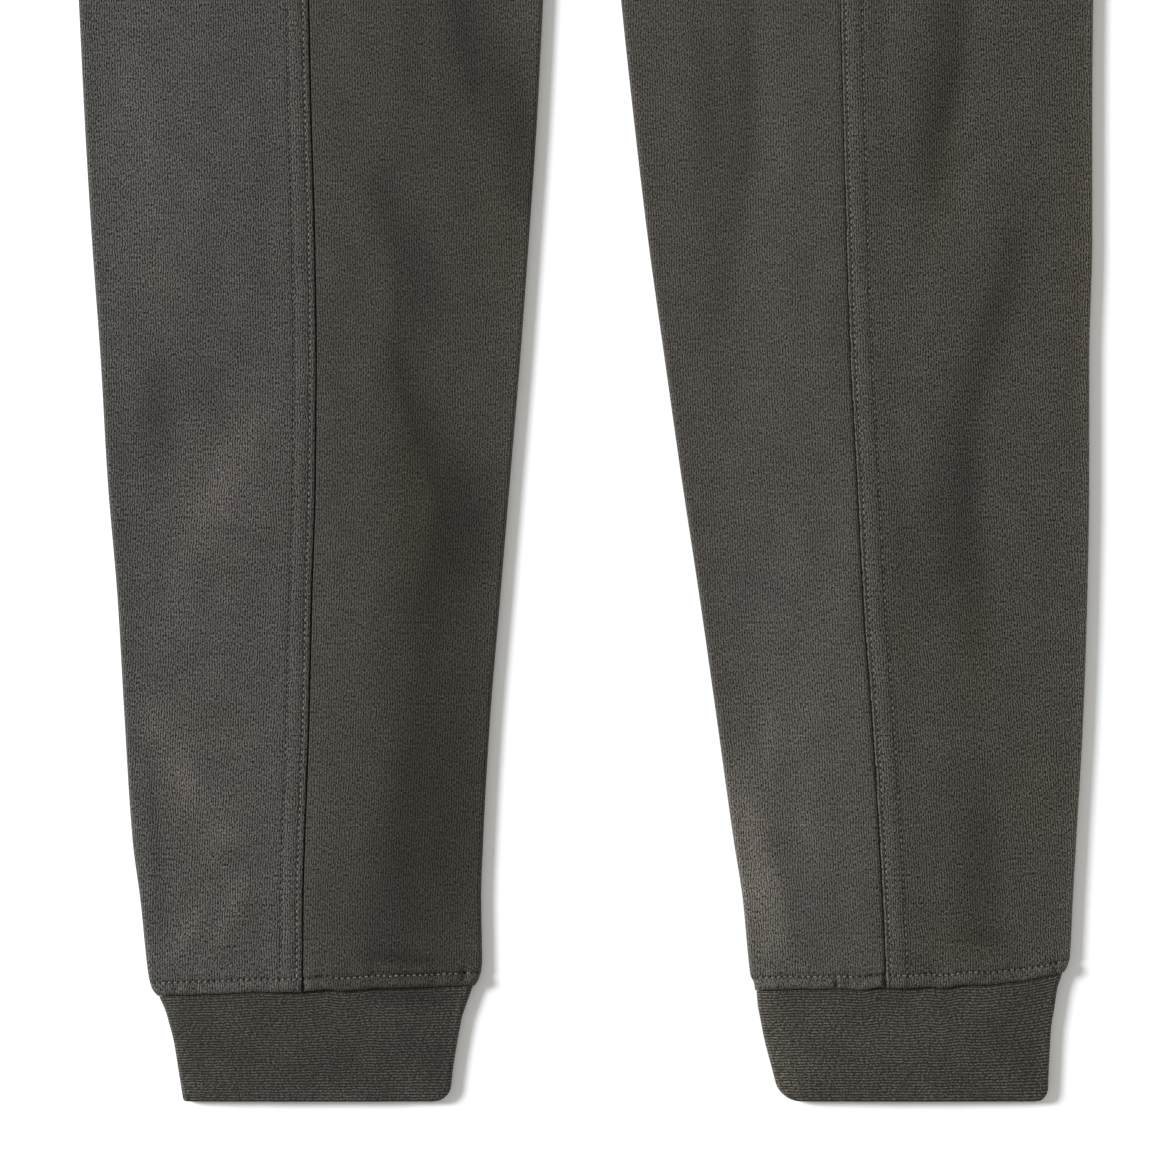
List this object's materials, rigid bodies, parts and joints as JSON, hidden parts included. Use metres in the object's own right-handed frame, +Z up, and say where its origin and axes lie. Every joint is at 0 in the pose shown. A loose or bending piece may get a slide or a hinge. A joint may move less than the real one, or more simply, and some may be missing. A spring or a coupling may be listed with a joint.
{
  "type": "jogger sweatpants",
  "caption": "Tapered jogger sweatpants laid flat, with lapped forward seams, topstitched hems, ribbed cuffs and an elastic waistband.",
  "frame": {"origin": "on the surface that the garment lies on, under the middle of its length and width", "axes": "+Y up the garment from the cuffs to the waist, +X towards the wearer's left, +Z up out of the front"},
  "size_m": [0.4916, 1.004, 0.0091],
  "materials": {
    "fleece": "brushed cotton fleece, garment dyed dark grey-olive",
    "rib": "fine rib knit, dark grey-olive",
    "waistband_fleece": "the leg fleece gathered on elastic"
  },
  "bodies": {
    "root": {"front_panel_right": "fleece", "front_panel_left": "fleece", "back_panel_right": "fleece", "back_panel_left": "fleece", "cuff_right": "rib", "cuff_left": "rib", "waistband": "waistband_fleece"}
  },
  "joints": []
}
